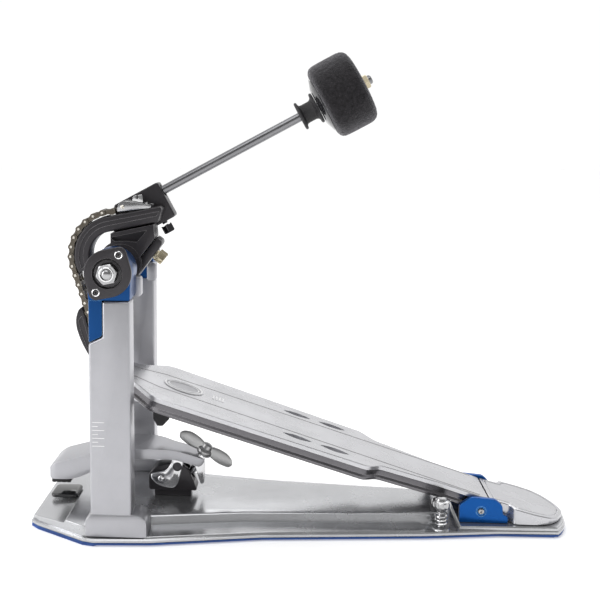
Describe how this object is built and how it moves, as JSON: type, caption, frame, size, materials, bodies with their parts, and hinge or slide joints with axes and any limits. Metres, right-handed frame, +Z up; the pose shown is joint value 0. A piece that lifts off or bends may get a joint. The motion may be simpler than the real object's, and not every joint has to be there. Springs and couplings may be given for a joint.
{
  "type": "bass drum pedal",
  "caption": "Single bass drum pedal with sprung chain-driven cam, hinged footboard, felt beater on a steel shaft and hoop clamp.",
  "frame": {"origin": "on the floor, under the middle of the bounding box", "axes": "+X from the drum towards the heel, +Y towards the side with the return spring, +Z up"},
  "size_m": [0.3909, 0.1536, 0.3474],
  "materials": {
    "plate_silver": "satin silver-grey",
    "cast_silver": "satin silver-grey",
    "board_silver": "satin",
    "anodised_blue": "anodised blue, satin",
    "rubber_blue": "matt",
    "black_metal": "satin black",
    "steel": "satin",
    "chrome": "bright",
    "chain_steel": "dark, lightly oiled",
    "pale_gold": "pale passivated plating",
    "rubber_black": "matt",
    "felt_black": "dense flocked felt",
    "gloss_black": "gloss",
    "emblem": "fine satin"
  },
  "bodies": {
    "frame": {"base_plate": "plate_silver", "base_mat": "rubber_blue", "post_left": "cast_silver", "post_right": "cast_silver", "bearing_housing_left": "anodised_blue", "bearing_housing_right": "anodised_blue", "bearing_cap_left": "black_metal", "bearing_cap_right": "black_metal", "cap_screw_left_top": "chrome", "cap_screw_left_bottom": "chrome", "cap_screw_right_top": "chrome", "cap_screw_right_bottom": "chrome", "hinge_block_left": "anodised_blue", "hinge_block_right": "anodised_blue", "hinge_pin": "steel", "heel_plate": "board_silver", "clamp_bracket": "black_metal", "clamp_pin": "chrome", "hoop_rest": "rubber_black", "spring_bracket": "cast_silver", "spur_spring_left": "chrome", "spur_spring_right": "chrome"},
    "footboard": {"footboard": "board_silver", "footboard_bumper_left": "rubber_black", "footboard_bumper_right": "rubber_black", "footboard_emblem": "emblem", "toe_fork": "steel", "toe_guard": "black_metal"},
    "axle": {"axle": "steel", "axle_nut_left": "steel", "axle_nut_right": "steel", "cam": "black_metal", "cam_hub": "black_metal", "cam_clamp_bar": "black_metal", "chain_anchor": "steel", "chain_wrap": "chain_steel", "beater_hub": "black_metal", "spring_rocker": "black_metal"},
    "cam_key_a": {"cam_key_screw_a": "pale_gold"},
    "cam_key_b": {"cam_key_screw_b": "pale_gold"},
    "beater_key": {"beater_key_screw": "black_metal"},
    "beater": {"beater_shaft": "steel", "beater_plate": "gloss_black", "beater_felt": "felt_black", "beater_nut": "pale_gold"},
    "spool": {"beater_spool": "rubber_black"},
    "link_1": {"chain_link_1": "chain_steel"},
    "link_2": {"chain_link_2": "chain_steel"},
    "link_3": {"chain_link_3": "chain_steel"},
    "run": {"chain_run": "chain_steel"},
    "spring_link": {"return_spring": "steel", "spring_rod": "steel"},
    "spring_hook": {"spring_hook": "steel"},
    "spring_nut": {"spring_nut": "chrome"},
    "jaw": {"clamp_jaw": "board_silver", "jaw_pad": "rubber_black"},
    "clamp_screw": {"clamp_screw": "chrome"},
    "wing": {"wing_bolt": "chrome"},
    "spur_left": {"spur_screw_left": "steel"},
    "spur_right": {"spur_screw_right": "steel"}
  },
  "joints": [
    {"name": "footboard_press", "type": "hinge", "parent": "frame", "child": "footboard", "pos_m": [0.1312, -0.00715, 0.0162], "axis": [0, 1, 0], "range_deg": [-6.2, 0], "stiffness_Nm_per_rad": 4, "springref_deg": 20.05},
    {"name": "axle_swing", "type": "hinge", "parent": "frame", "child": "axle", "pos_m": [-0.131, -0.00715, 0.192], "axis": [0, 1, 0], "range_deg": [-41, 0]},
    {"name": "chain_hinge_1", "type": "hinge", "parent": "axle", "child": "link_1", "pos_m": [-0.1673, -0.0114, 0.21027], "axis": [0, 1, 0], "range_deg": [0, 16.3]},
    {"name": "chain_hinge_2", "type": "hinge", "parent": "link_1", "child": "link_2", "pos_m": [-0.16944, -0.0114, 0.20329], "axis": [0, 1, 0], "range_deg": [0, 12.9]},
    {"name": "chain_hinge_3", "type": "hinge", "parent": "link_2", "child": "link_3", "pos_m": [-0.16997, -0.0114, 0.19601], "axis": [0, 1, 0], "range_deg": [0, 11.6]},
    {"name": "chain_toe_hinge", "type": "hinge", "parent": "footboard", "child": "run", "pos_m": [-0.14594, -0.0114, 0.11948], "axis": [0, 1, 0], "range_deg": [0, 14.4]},
    {"name": "spring_tilt", "type": "hinge", "parent": "frame", "child": "spring_link", "pos_m": [-0.127, 0.07035, 0.072], "axis": [0, 1, 0], "range_deg": [0, 4.5]},
    {"name": "spring_stretch", "type": "slide", "parent": "spring_link", "child": "spring_hook", "axis": [0, 0, 1], "range_m": [0, 0.0065], "deforming": ["return_spring"]},
    {"name": "beater_height", "type": "slide", "parent": "axle", "child": "beater", "axis": [0.8813, 0, 0.4726], "range_m": [-0.02, 0.01]},
    {"name": "spool_slide", "type": "slide", "parent": "beater", "child": "spool", "axis": [0.8813, 0, 0.4726], "range_m": [-0.09, 0]},
    {"name": "beater_key_turn", "type": "hinge", "parent": "axle", "child": "beater_key", "pos_m": [-0.10661, 0.00475, 0.22777], "axis": [0.4726, 0, -0.8813], "range_deg": [-90, 90]},
    {"name": "cam_key_a_turn", "type": "hinge", "parent": "axle", "child": "cam_key_a", "pos_m": [-0.11091, -0.01635, 0.20181], "axis": [0.7944, 0, -0.6074], "range_deg": [-90, 90]},
    {"name": "cam_key_b_turn", "type": "hinge", "parent": "axle", "child": "cam_key_b", "pos_m": [-0.11091, -0.00745, 0.20181], "axis": [0.7944, 0, -0.6074], "range_deg": [-90, 90]},
    {"name": "jaw_open", "type": "hinge", "parent": "frame", "child": "jaw", "pos_m": [-0.103, -0.00715, 0.028], "axis": [0, 1, 0], "range_deg": [0, 8.2]},
    {"name": "clamp_screw_travel", "type": "slide", "parent": "jaw", "child": "clamp_screw", "axis": [-0.5239, 0, -0.8518], "range_m": [-0.0026, 0]},
    {"name": "wing_turn", "type": "hinge", "parent": "clamp_screw", "child": "wing", "pos_m": [-0.0694, -0.00715, 0.0493], "axis": [-0.5239, 0, -0.8518], "range_deg": [-720, 0]},
    {"name": "spring_nut_turn", "type": "hinge", "parent": "spring_link", "child": "spring_nut", "pos_m": [-0.127, 0.07035, 0.0814], "axis": [0, 0, 1], "range_deg": [-360, 360]},
    {"name": "spur_left_turn", "type": "hinge", "parent": "frame", "child": "spur_left", "pos_m": [0.102, -0.03615, 0.015], "axis": [0, 0, 1], "range_deg": [-360, 360]},
    {"name": "spur_right_turn", "type": "hinge", "parent": "frame", "child": "spur_right", "pos_m": [0.102, 0.02185, 0.015], "axis": [0, 0, 1], "range_deg": [-360, 360]}
  ],
  "couplings": [
    {"joint": "axle_swing", "follows": "footboard_press", "ratio": 6.417},
    {"joint": "chain_hinge_1", "follows": "footboard_press", "ratio": -2.543},
    {"joint": "chain_hinge_2", "follows": "footboard_press", "ratio": -2.005},
    {"joint": "chain_hinge_3", "follows": "footboard_press", "ratio": -1.795},
    {"joint": "chain_toe_hinge", "follows": "footboard_press", "ratio": -2.244},
    {"joint": "spring_tilt", "follows": "footboard_press", "ratio": -0.7},
    {"joint": "spring_stretch", "follows": "footboard_press", "m_per_rad": -0.058},
    {"joint": "jaw_open", "follows": "wing_turn", "ratio": -0.01125},
    {"joint": "clamp_screw_travel", "follows": "wing_turn", "m_per_rad": 0.00019894}
  ]
}
